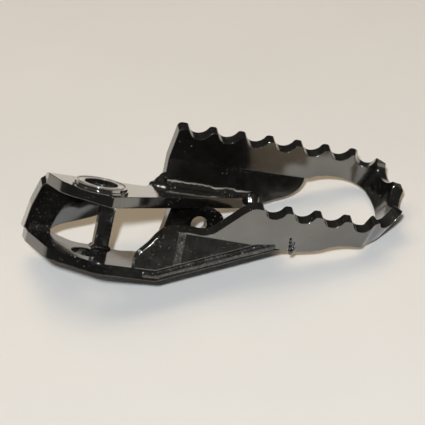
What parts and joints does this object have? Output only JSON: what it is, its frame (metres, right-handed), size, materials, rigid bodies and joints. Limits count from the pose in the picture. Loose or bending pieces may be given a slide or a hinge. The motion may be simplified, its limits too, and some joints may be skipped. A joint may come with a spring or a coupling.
{
  "type": "motorcycle foot peg",
  "caption": "Serrated off-road motorcycle foot peg: toothed hairpin tread loop welded to a two-ear pivot clevis of bent steel plate",
  "frame": {"origin": "on the pivot axis, midway between the inner faces of the two ears", "axes": "+X outboard along the tread, +Y from the front leg toward the rear leg, +Z out of the tread with the teeth up; the pivot axis leans 26 degrees from +Z toward +Y"},
  "size_m": [0.1312, 0.0526, 0.0515],
  "materials": {
    "black_coat": "gloss black coating over steel plate, lightly dusty",
    "coated_weld": "gloss black coating over rippled weld metal"
  },
  "bodies": {
    "root": {"tread_loop": "black_coat", "front_root_gusset": "black_coat", "upper_arm_plate": "black_coat", "lower_arm_plate": "black_coat", "spacer_strut": "black_coat", "cross_gusset": "black_coat", "pivot_boss_ring": "black_coat", "weld_rear_leg": "coated_weld", "weld_rear_root": "coated_weld", "weld_front_leg": "coated_weld", "weld_web": "coated_weld", "weld_strut_lower": "coated_weld", "weld_strut_upper": "coated_weld", "weld_gusset_upper": "coated_weld", "weld_gusset_lower": "coated_weld", "weld_front_seam": "coated_weld", "weld_arm_tip": "coated_weld"}
  },
  "joints": []
}
